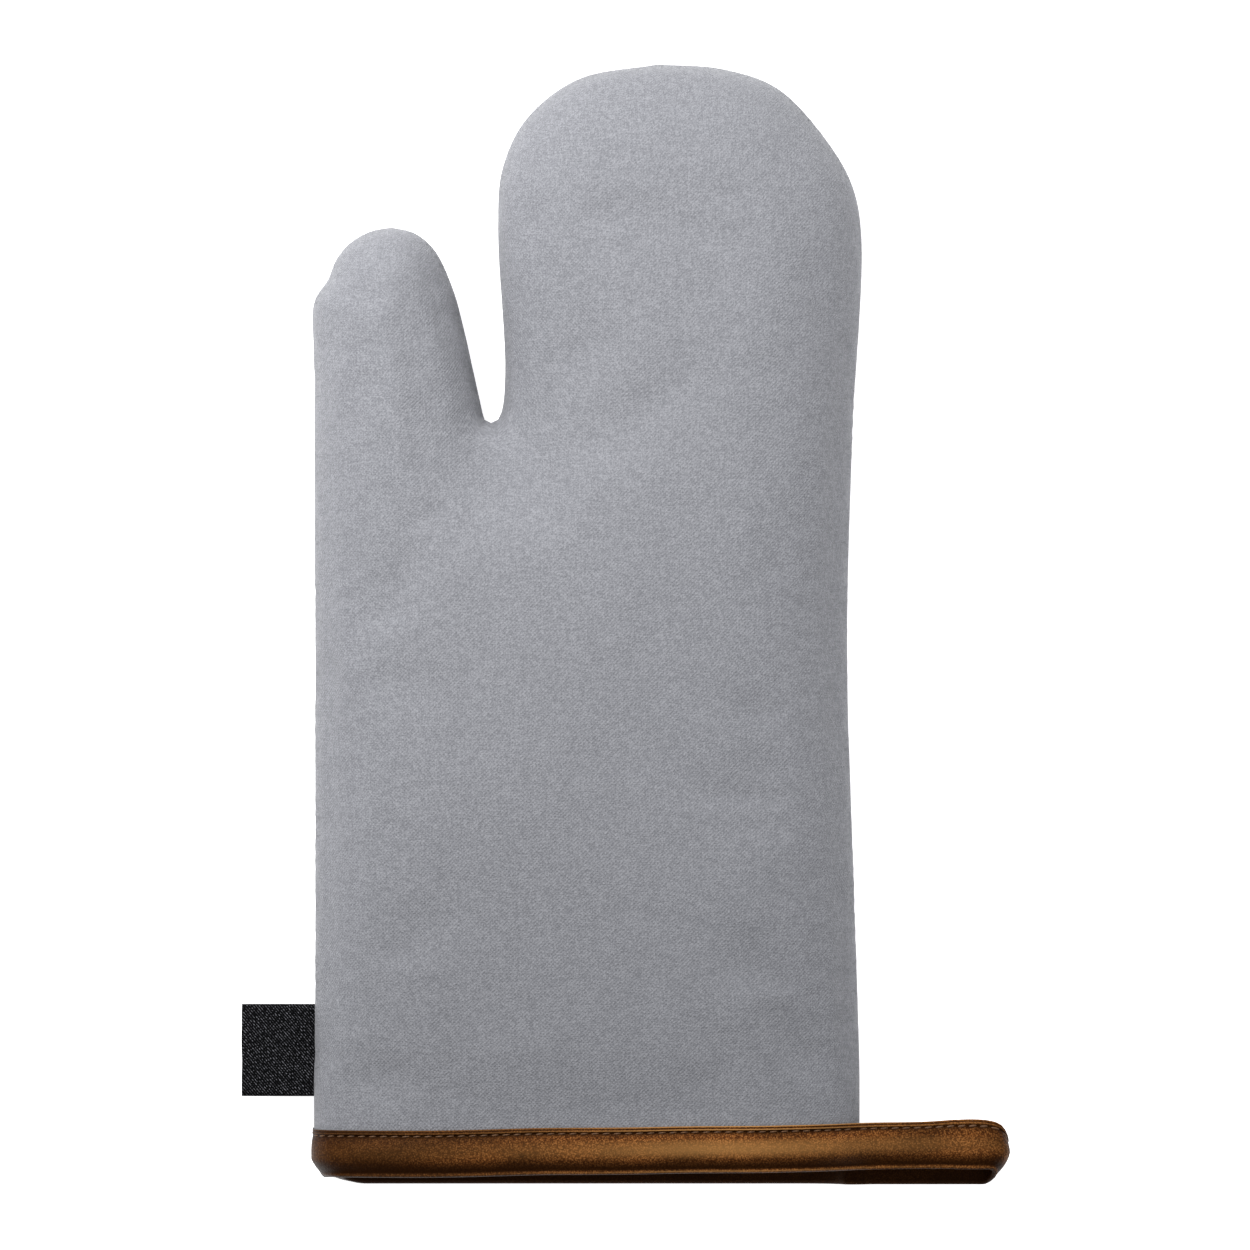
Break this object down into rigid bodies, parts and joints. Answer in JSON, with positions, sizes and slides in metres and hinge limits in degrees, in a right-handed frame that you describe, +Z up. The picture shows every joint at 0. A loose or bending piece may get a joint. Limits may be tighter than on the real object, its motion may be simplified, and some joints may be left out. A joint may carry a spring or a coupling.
{
  "type": "oven mitt",
  "caption": "Padded oven mitt with a thumb, a lined hand pocket, a leather-look cuff binding that runs out into a hanging loop, and a folded woven label in the side seam.",
  "frame": {"origin": "centre of the bounding box's underside, in the plane of the table that the mitt lies on", "axes": "+X across the cuff from the thumb's side seam to the hanging loop, +Y from the cuff to the fingertips, +Z up through the mitt's thickness towards its palm side"},
  "size_m": [0.2148, 0.3136, 0.035],
  "materials": {
    "canvas": "matt grey cotton canvas in plain weave",
    "wadding": "soft white polyester wadding",
    "lining": "matt light grey cotton",
    "leather": "satin brown leather-look tape with a fine grain",
    "thread": "brown sewing thread",
    "label": "black woven twill"
  },
  "bodies": {
    "mitt": {"shell_front_palm": "canvas", "shell_back_palm": "canvas", "wadding_front_palm": "wadding", "wadding_back_palm": "wadding", "lining_front_palm": "lining", "lining_back_palm": "lining", "cuff_binding_front": "leather", "cuff_binding_back": "leather", "binding_stitching_front": "thread", "binding_stitching_back": "thread"},
    "fingers": {"shell_front_fingers": "canvas", "shell_back_fingers": "canvas", "wadding_front_fingers": "wadding", "wadding_back_fingers": "wadding", "lining_front_fingers": "lining", "lining_back_fingers": "lining"},
    "thumb": {"shell_front_thumb": "canvas", "shell_back_thumb": "canvas", "wadding_front_thumb": "wadding", "wadding_back_thumb": "wadding", "lining_front_thumb": "lining", "lining_back_thumb": "lining"},
    "hanging_loop": {"hanging_loop": "leather"},
    "label": {"label_tab": "label"}
  },
  "joints": [
    {"name": "finger_fold", "type": "hinge", "parent": "mitt", "child": "fingers", "pos_m": [0.015, 0.077, 0.0352], "axis": [1, 0, 0], "range_deg": [0, 60]},
    {"name": "thumb_fold", "type": "hinge", "parent": "mitt", "child": "thumb", "pos_m": [-0.05343, 0.0658, 0.0352], "axis": [0.5, 0.866, 0], "range_deg": [0, 50]},
    {"name": "loop_swing", "type": "hinge", "parent": "mitt", "child": "hanging_loop", "pos_m": [0.06925, -0.1475, 0.013], "axis": [0, 1, 0], "range_deg": [-70, 70]},
    {"name": "label_flip", "type": "hinge", "parent": "mitt", "child": "label", "pos_m": [-0.08805, -0.119, 0.013], "axis": [0, 1, 0], "range_deg": [-80, 80]}
  ]
}
